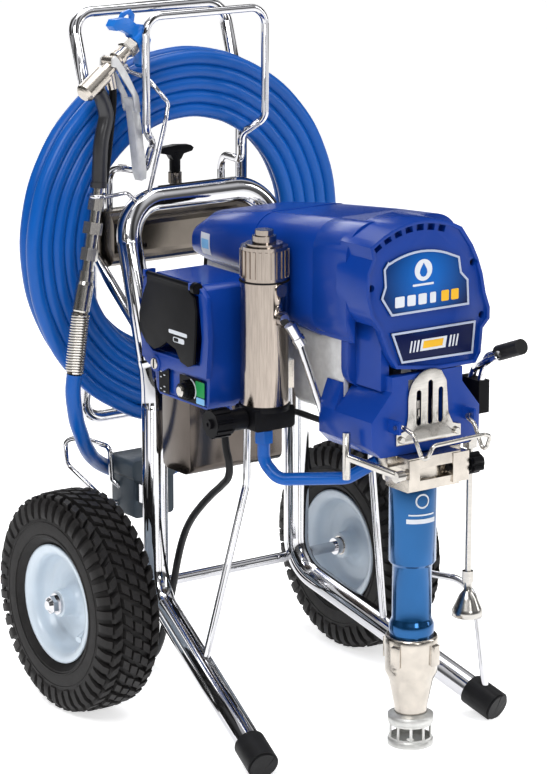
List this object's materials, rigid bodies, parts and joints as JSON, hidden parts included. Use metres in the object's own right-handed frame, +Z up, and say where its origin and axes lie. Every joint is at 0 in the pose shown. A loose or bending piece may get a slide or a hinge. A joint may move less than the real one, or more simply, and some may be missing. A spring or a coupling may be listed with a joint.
{
  "type": "airless paint sprayer",
  "caption": "Electric airless paint sprayer on a two-wheeled tubular cart, with piston pump, filter, hanging hose coil and spray gun.",
  "frame": {"origin": "on the floor under the middle of the machine without its loose hose and cord", "axes": "+Z up; +X along the wheel axle to the right-hand wheel; -Y is the front, where the pump stands"},
  "size_m": [0.6248, 0.8284, 1.0207],
  "materials": {
    "chrome_tube": "polished chrome-plated steel tube",
    "dark_chrome": "dark polished plate",
    "rubber_black": "matt moulded rubber",
    "tyre_rubber": "treaded pneumatic tyre rubber",
    "rim_paint": "satin pale blue-grey enamel",
    "blue_cover": "semi-gloss moulded blue plastic",
    "label_film": "printed film label",
    "black_plastic": "matt black moulded plastic",
    "bright_steel": "turned bright steel",
    "cast_alloy": "cast alloy",
    "filter_steel": "turned stainless steel",
    "nickel": "nickel-plated casting",
    "blue_anodised": "glossy blue anodised sleeve",
    "hose_blue": "smooth blue hose jacket",
    "cord_black": "black rubber cord jacket",
    "grey_plastic": "slate-grey plastic",
    "guard_blue": "bright blue plastic",
    "case_bronze": "dark bronze powder coat",
    "strainer_alloy": "pale cast strainer"
  },
  "bodies": {
    "cart": {"frame_hoop": "chrome_tube", "foot_caps": "rubber_black", "frame_rods": "chrome_tube", "axle": "chrome_tube", "back_frame": "chrome_tube", "hose_rack": "chrome_tube", "wire_hooks": "chrome_tube", "rear_saddle": "dark_chrome", "tool_box": "grey_plastic", "motor_casting": "cast_alloy", "motor_end_cap": "black_plastic", "shroud": "blue_cover", "front_cover": "blue_cover", "cover_labels": "label_film", "drive_housing": "blue_cover", "rod_guard": "bright_steel", "pump_clamp": "nickel", "pump_sleeve": "blue_anodised", "pump_intake": "nickel", "strainer": "strainer_alloy", "lift_handle": "chrome_tube", "lift_grip": "rubber_black", "drain_tube": "bright_steel", "drain_line": "cord_black", "filter_base": "black_plastic", "filter_bowl": "filter_steel", "jumper_hose": "hose_blue", "outlet_tube": "chrome_tube", "outlet_fitting": "nickel", "control_box": "blue_cover", "controller_case": "case_bronze", "gun_body": "nickel", "gun_guard": "guard_blue", "power_cord": "cord_black", "power_cord_coil": "cord_black", "power_plug": "cord_black", "hose_coil": "hose_blue", "hose_tail": "hose_blue", "hose_lead": "hose_blue"},
    "latch": {"latch_handle": "black_plastic"},
    "box_lid": {"tool_box_lid": "grey_plastic"},
    "wheel_left": {"tyre_left": "tyre_rubber", "rim_left": "rim_paint", "bearings_left": "bright_steel"},
    "wheel_right": {"tyre_right": "tyre_rubber", "rim_right": "rim_paint", "bearings_right": "bright_steel"},
    "rotor": {"motor_rotor": "bright_steel"},
    "crank": {"crank_gear": "bright_steel"},
    "conrod": {"connecting_rod": "cast_alloy"},
    "piston": {"piston_rod": "bright_steel"},
    "lever": {"clamp_lever": "bright_steel"},
    "clamp_screw": {"clamp_knob": "black_plastic"},
    "bail": {"pail_bail": "bright_steel"},
    "prime_valve": {"prime_knob": "black_plastic"},
    "flap": {"control_flap": "black_plastic"},
    "dial": {"pressure_knob": "black_plastic"},
    "rocker": {"power_switch": "black_plastic"},
    "trigger": {"gun_trigger": "cast_alloy"},
    "spray_tip": {"gun_tip": "guard_blue"}
  },
  "joints": [
    {"name": "wheel_left_spin", "type": "hinge", "parent": "cart", "child": "wheel_left", "pos_m": [-0.258, 0.1882, 0.165], "axis": [1, 0, 0], "continuous": true},
    {"name": "wheel_right_spin", "type": "hinge", "parent": "cart", "child": "wheel_right", "pos_m": [0.258, 0.1882, 0.165], "axis": [1, 0, 0], "continuous": true},
    {"name": "latch_lift", "type": "slide", "parent": "cart", "child": "latch", "axis": [0, 0, 1], "range_m": [0, 0.012], "stiffness_N_per_m": 400, "springref_m": -0.01},
    {"name": "box_lid_turn", "type": "hinge", "parent": "cart", "child": "box_lid", "pos_m": [-0.098, 0.2905, 0.3266], "axis": [1, 0, 0], "range_deg": [-26, 0]},
    {"name": "crank_turn", "type": "hinge", "parent": "cart", "child": "crank", "pos_m": [0, -0.2828, 0.608], "axis": [0, 1, 0], "continuous": true},
    {"name": "rotor_turn", "type": "hinge", "parent": "cart", "child": "rotor", "pos_m": [0, -0.1238, 0.655], "axis": [0, 1, 0], "continuous": true},
    {"name": "conrod_turn", "type": "hinge", "parent": "crank", "child": "conrod", "pos_m": [0, -0.2558, 0.588], "axis": [0, 1, 0], "continuous": true},
    {"name": "piston_slide", "type": "slide", "parent": "cart", "child": "piston", "axis": [0, 0, 1], "range_m": [-0.04, 0]},
    {"name": "lever_turn", "type": "hinge", "parent": "cart", "child": "lever", "pos_m": [-0.058, -0.3278, 0.438], "axis": [1, 0, 0], "range_deg": [-75, 0]},
    {"name": "clamp_screw_turn", "type": "hinge", "parent": "cart", "child": "clamp_screw", "pos_m": [0.06, -0.3278, 0.438], "axis": [1, 0, 0], "continuous": true},
    {"name": "bail_turn", "type": "hinge", "parent": "cart", "child": "bail", "pos_m": [0, -0.3248, 0.507], "axis": [1, 0, 0], "range_deg": [-75, 0]},
    {"name": "prime_turn", "type": "hinge", "parent": "cart", "child": "prime_valve", "pos_m": [-0.19, -0.1088, 0.49], "axis": [1, 0, 0], "range_deg": [0, 90]},
    {"name": "flap_turn", "type": "hinge", "parent": "cart", "child": "flap", "pos_m": [-0.2086, 0.0132, 0.673], "axis": [0, 1, 0], "range_deg": [0, 110]},
    {"name": "dial_turn", "type": "hinge", "parent": "cart", "child": "dial", "pos_m": [-0.205, -0.0228, 0.519], "axis": [1, 0, 0], "range_deg": [0, 270]},
    {"name": "rocker_turn", "type": "hinge", "parent": "cart", "child": "rocker", "pos_m": [-0.19, 0.0452, 0.519], "axis": [0, 1, 0], "range_deg": [-7, 7]},
    {"name": "trigger_pull", "type": "hinge", "parent": "cart", "child": "trigger", "pos_m": [-0.16312, 0.2338, 0.95266], "axis": [0.2079, -0.9781, 0], "range_deg": [-15, 0], "stiffness_Nm_per_rad": 1.5, "springref_deg": 9.74},
    {"name": "tip_turn", "type": "hinge", "parent": "cart", "child": "spray_tip", "pos_m": [-0.10307, 0.24657, 0.98298], "axis": [0.2079, -0.9781, 0], "range_deg": [0, 180]}
  ],
  "couplings": [
    {"joint": "crank_turn", "follows": "rotor_turn", "ratio": -0.38576},
    {"joint": "conrod_turn", "follows": "rotor_turn", "ratio": 0.38576}
  ]
}
